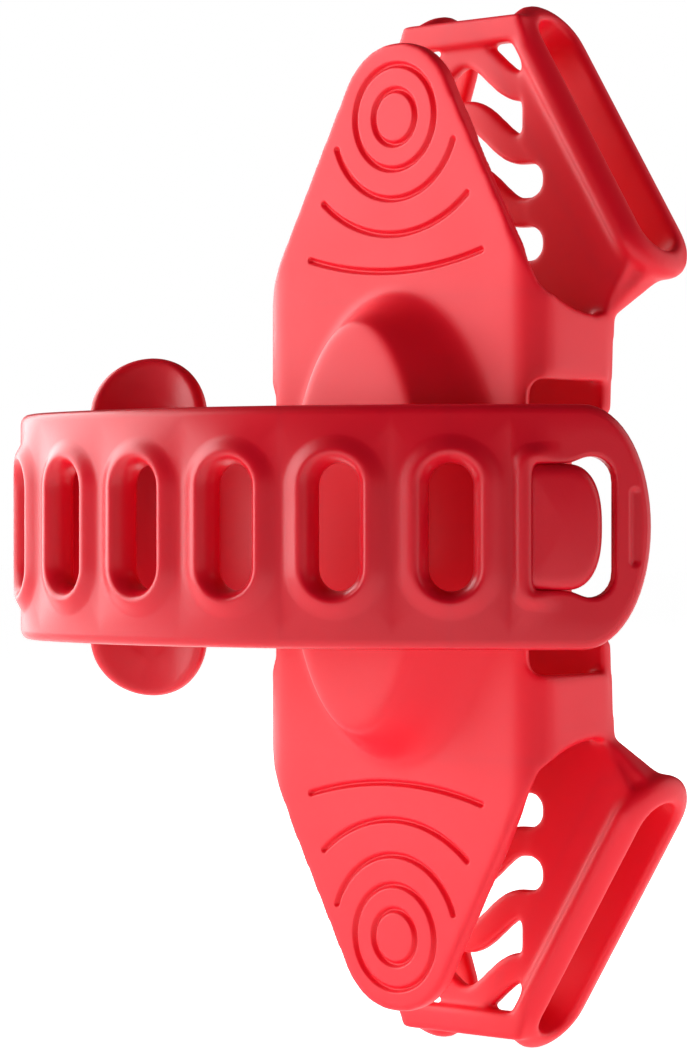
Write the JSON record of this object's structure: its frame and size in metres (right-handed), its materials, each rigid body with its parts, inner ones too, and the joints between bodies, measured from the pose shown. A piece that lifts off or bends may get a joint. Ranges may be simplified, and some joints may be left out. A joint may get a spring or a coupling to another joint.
{
  "type": "bicycle phone mount",
  "caption": "Soft moulded phone holder with stretch corner loops, finger tabs and a slotted strap that hooks round a bar.",
  "frame": {"origin": "centre of the saddle face that rests on the bar", "axes": "+X across the phone, +Y from the bar towards the phone, +Z along the phone's long side and along the bar"},
  "size_m": [0.0911, 0.0507, 0.1318],
  "materials": {
    "holder_silicone": "matt moulded silicone",
    "strap_silicone": "matt moulded silicone"
  },
  "bodies": {
    "core": {"back_plate": "holder_silicone", "left_side_wall": "holder_silicone", "right_side_wall": "holder_silicone", "phone_rest": "holder_silicone", "bar_saddle": "holder_silicone", "strap_anchor": "strap_silicone", "strap_ear_span": "strap_silicone", "strap_ears": "strap_silicone", "hook_neck": "strap_silicone", "upper_stretch_band": "holder_silicone", "lower_stretch_band": "holder_silicone"},
    "upper_tab": {"upper_finger_tab": "holder_silicone"},
    "lower_tab": {"lower_finger_tab": "holder_silicone"},
    "upper_wing": {"upper_wave_lattice": "holder_silicone", "upper_side_panels": "holder_silicone", "upper_rim": "holder_silicone"},
    "lower_wing": {"lower_wave_lattice": "holder_silicone", "lower_side_panels": "holder_silicone", "lower_rim": "holder_silicone"},
    "upper_left_corner": {"upper_left_loop": "holder_silicone"},
    "upper_right_corner": {"upper_right_loop": "holder_silicone"},
    "lower_left_corner": {"lower_left_loop": "holder_silicone"},
    "lower_right_corner": {"lower_right_loop": "holder_silicone"},
    "strap_bend": {"strap_link_1": "strap_silicone"},
    "strap_far": {"strap_link_2": "strap_silicone", "strap_link_3": "strap_silicone"},
    "strap_mid": {"strap_link_4": "strap_silicone", "strap_link_5": "strap_silicone"},
    "strap_near": {"strap_link_6": "strap_silicone"},
    "strap_ring": {"strap_ring_end": "strap_silicone"},
    "hook": {"hook_tongue": "strap_silicone"}
  },
  "joints": [
    {"name": "upper_wing_stretch", "type": "slide", "parent": "core", "child": "upper_wing", "axis": [0, 0, 1], "range_m": [0, 0.012], "stiffness_N_per_m": 300, "deforming": ["upper_stretch_band"]},
    {"name": "upper_tab_flex", "type": "hinge", "parent": "core", "child": "upper_tab", "pos_m": [0, 0.0075, 0.031], "axis": [1, 0, 0], "range_deg": [0, 40], "stiffness_Nm_per_rad": 0.02},
    {"name": "upper_left_loop_peel", "type": "hinge", "parent": "upper_wing", "child": "upper_left_corner", "pos_m": [-0.01613, 0.021, 0.04734], "axis": [0.5299, 0, 0.848], "range_deg": [0, 95], "stiffness_Nm_per_rad": 0.02},
    {"name": "upper_right_loop_peel", "type": "hinge", "parent": "upper_wing", "child": "upper_right_corner", "pos_m": [0.01613, 0.021, 0.04734], "axis": [0.5299, 0, -0.848], "range_deg": [0, 95], "stiffness_Nm_per_rad": 0.02},
    {"name": "lower_wing_stretch", "type": "slide", "parent": "core", "child": "lower_wing", "axis": [0, 0, -1], "range_m": [0, 0.012], "stiffness_N_per_m": 300, "deforming": ["lower_stretch_band"]},
    {"name": "lower_tab_flex", "type": "hinge", "parent": "core", "child": "lower_tab", "pos_m": [0, 0.0075, -0.031], "axis": [-1, 0, 0], "range_deg": [0, 40], "stiffness_Nm_per_rad": 0.02},
    {"name": "lower_left_loop_peel", "type": "hinge", "parent": "lower_wing", "child": "lower_left_corner", "pos_m": [-0.01613, 0.021, -0.04734], "axis": [-0.5299, 0, 0.848], "range_deg": [0, 95], "stiffness_Nm_per_rad": 0.02},
    {"name": "lower_right_loop_peel", "type": "hinge", "parent": "lower_wing", "child": "lower_right_corner", "pos_m": [0.01613, 0.021, -0.04734], "axis": [-0.5299, 0, -0.848], "range_deg": [0, 95], "stiffness_Nm_per_rad": 0.02},
    {"name": "strap_unhook", "type": "hinge", "parent": "strap_near", "child": "strap_ring", "pos_m": [0.02545, -0.00089, 0], "axis": [0, 0, -1], "range_deg": [0, 80], "stiffness_Nm_per_rad": 0.01},
    {"name": "strap_near_bend", "type": "hinge", "parent": "strap_mid", "child": "strap_near", "pos_m": [0.01403, -0.00931, 0], "axis": [0, 0, -1], "range_deg": [0, 32]},
    {"name": "strap_mid_bend", "type": "hinge", "parent": "strap_far", "child": "strap_mid", "pos_m": [-0.01273, -0.01824, 0], "axis": [0, 0, -1], "range_deg": [0, 16]},
    {"name": "strap_far_bend", "type": "hinge", "parent": "strap_bend", "child": "strap_far", "pos_m": [-0.04081, -0.01555, 0], "axis": [0, 0, -1], "range_deg": [0, 8]},
    {"name": "strap_root_bend", "type": "hinge", "parent": "core", "child": "strap_bend", "pos_m": [-0.05283, -0.00765, 0], "axis": [0, 0, -1], "range_deg": [0, 6.4]},
    {"name": "tongue_flex", "type": "hinge", "parent": "core", "child": "hook", "pos_m": [0.02736, 0.00093, 0], "axis": [0, 0, -1], "range_deg": [0, 30], "stiffness_Nm_per_rad": 0.005}
  ],
  "couplings": [
    {"joint": "strap_near_bend", "follows": "strap_unhook", "ratio": 0.4},
    {"joint": "strap_mid_bend", "follows": "strap_unhook", "ratio": 0.2},
    {"joint": "strap_far_bend", "follows": "strap_unhook", "ratio": 0.1},
    {"joint": "strap_root_bend", "follows": "strap_unhook", "ratio": 0.08}
  ]
}
